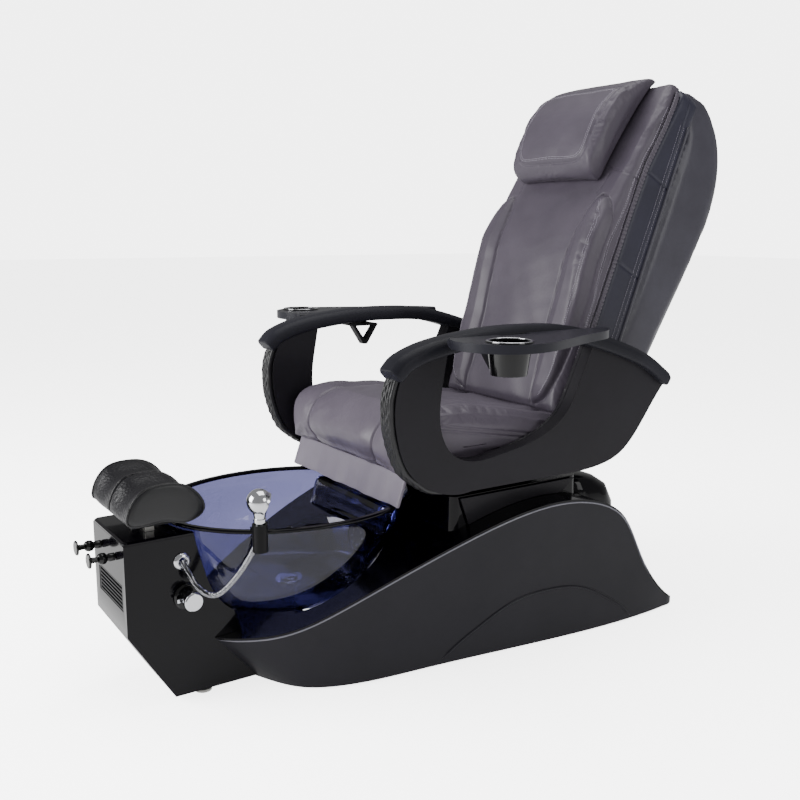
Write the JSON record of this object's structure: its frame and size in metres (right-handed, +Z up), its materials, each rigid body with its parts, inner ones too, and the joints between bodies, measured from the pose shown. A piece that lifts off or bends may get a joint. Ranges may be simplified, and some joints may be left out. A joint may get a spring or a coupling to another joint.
{
  "type": "pedicure spa chair",
  "caption": "Reclining pedicure spa chair on a moulded base with a clear tinted foot tub, hand sprayer, footrest column, fold-up arm trays and a padded massage back.",
  "frame": {"origin": "on the floor under the middle of the chair's bounding box", "axes": "+Z up, the sitter faces -Y, +X is the sitter's left side"},
  "size_m": [1.09, 1.8513, 1.4696],
  "materials": {
    "skirt_matte": "matte moulded shell, charcoal",
    "deck_gloss": "high gloss, near black with a purple tint",
    "tub_acrylic": "clear tinted acrylic, purple blue",
    "rim_gloss": "high gloss black",
    "satin_panel": "satin charcoal",
    "soft_black": "soft touch black",
    "hard_black": "black, fine grain",
    "knob_black": "black, polished",
    "frame_steel": "powder coated steel",
    "bright_steel": "bright steel",
    "chrome": "polished chrome",
    "leather_grey": "grey brown coated leathercloth over foam",
    "leather_dark": "dark leathercloth over foam",
    "pad_charcoal": "grained charcoal leathercloth over foam"
  },
  "bodies": {
    "base": {"base_shell": "skirt_matte", "base_deck": "deck_gloss", "seat_plinth": "deck_gloss", "plinth_panels": "satin_panel", "rear_cover": "deck_gloss", "base_frame": "frame_steel", "slide_rails": "bright_steel", "levelling_feet": "bright_steel", "actuator_tube": "frame_steel", "tub": "tub_acrylic", "tub_rim": "rim_gloss", "drain_flange": "chrome", "jet_housing": "tub_acrylic", "jet_cover": "tub_acrylic", "column_shell": "deck_gloss", "column_lid": "deck_gloss", "column_grille": "hard_black", "hose_ring": "chrome", "valve_escutcheon": "knob_black", "footrest_sleeves": "frame_steel", "sprayer_holder": "hard_black", "sprayer_head": "chrome", "sprayer_hose": "chrome"},
    "footrest": {"footrest_posts": "bright_steel", "footrest_board": "frame_steel", "footrest_pad_left": "pad_charcoal", "footrest_pad_right": "pad_charcoal"},
    "clamp_knob_left": {"clamp_knob_left": "knob_black"},
    "clamp_knob_right": {"clamp_knob_right": "knob_black"},
    "mixer_lever": {"mixer_lever": "chrome"},
    "mixer_knob": {"mixer_knob": "chrome"},
    "drain_stopper": {"drain_stopper": "chrome"},
    "jet_impeller": {"jet_impeller": "hard_black"},
    "seat": {"seat_frame": "frame_steel", "actuator_rod": "bright_steel", "seat_cushion": "leather_grey", "leg_flap": "leather_grey", "arm_cover_left": "satin_panel", "arm_cover_right": "satin_panel", "arm_liner_left": "satin_panel", "arm_liner_right": "satin_panel", "arm_trim_left": "leather_dark", "arm_trim_right": "leather_dark", "arm_pad_left": "soft_black", "arm_pad_right": "soft_black", "tray_bracket_left": "frame_steel", "tray_bracket_right": "frame_steel"},
    "tray_left": {"tray_left": "hard_black", "cup_holder_left": "knob_black"},
    "tray_right": {"tray_right": "hard_black", "cup_holder_right": "knob_black"},
    "backrest": {"back_frame": "frame_steel", "back_shell": "leather_dark", "back_gusset": "leather_dark", "back_cushion": "leather_grey", "back_bolsters": "leather_grey", "head_pillow": "leather_grey", "massage_rails": "bright_steel"},
    "massage_carriage": {"massage_carriage": "hard_black"},
    "massage_rollers": {"massage_rollers": "hard_black"}
  },
  "joints": [
    {"name": "footrest_lift", "type": "slide", "parent": "base", "child": "footrest", "axis": [0, 0, 1], "range_m": [0, 0.06]},
    {"name": "clamp_knob_left_turn", "type": "hinge", "parent": "base", "child": "clamp_knob_left", "pos_m": [0.05, -0.869, 0.35], "axis": [0, -1, 0], "range_deg": [0, 720]},
    {"name": "clamp_knob_right_turn", "type": "hinge", "parent": "base", "child": "clamp_knob_right", "pos_m": [-0.05, -0.869, 0.35], "axis": [0, -1, 0], "range_deg": [0, 720]},
    {"name": "mixer_lever_turn", "type": "hinge", "parent": "base", "child": "mixer_lever", "pos_m": [0.112, -0.732, 0.249], "axis": [1, 0, 0], "range_deg": [0, 90]},
    {"name": "mixer_knob_turn", "type": "hinge", "parent": "base", "child": "mixer_knob", "pos_m": [0.112, -0.732, 0.249], "axis": [1, 0, 0], "range_deg": [-60, 60]},
    {"name": "drain_stopper_lift", "type": "slide", "parent": "base", "child": "drain_stopper", "axis": [0, 0, 1], "range_m": [0, 0.015]},
    {"name": "jet_impeller_spin", "type": "hinge", "parent": "base", "child": "jet_impeller", "pos_m": [0, -0.19, 0.262], "axis": [0, 1, 0], "continuous": true},
    {"name": "seat_slide", "type": "slide", "parent": "base", "child": "seat", "axis": [0, 1, 0], "range_m": [-0.1, 0.05]},
    {"name": "tray_left_fold", "type": "hinge", "parent": "seat", "child": "tray_left", "pos_m": [0.362, -0.016, 0.81], "axis": [0, -1, 0], "range_deg": [0, 88]},
    {"name": "tray_right_fold", "type": "hinge", "parent": "seat", "child": "tray_right", "pos_m": [-0.362, -0.016, 0.81], "axis": [0, 1, 0], "range_deg": [0, 88]},
    {"name": "backrest_recline", "type": "hinge", "parent": "seat", "child": "backrest", "pos_m": [0, 0.33, 0.56], "axis": [-1, 0, 0], "range_deg": [-5, 25]},
    {"name": "massage_travel", "type": "slide", "parent": "backrest", "child": "massage_carriage", "axis": [0, 0.3746, 0.9272], "range_m": [-0.15, 0.25]},
    {"name": "massage_roller_spin", "type": "hinge", "parent": "massage_carriage", "child": "massage_rollers", "pos_m": [0, 0.45002, 0.89978], "axis": [1, 0, 0], "continuous": true}
  ]
}
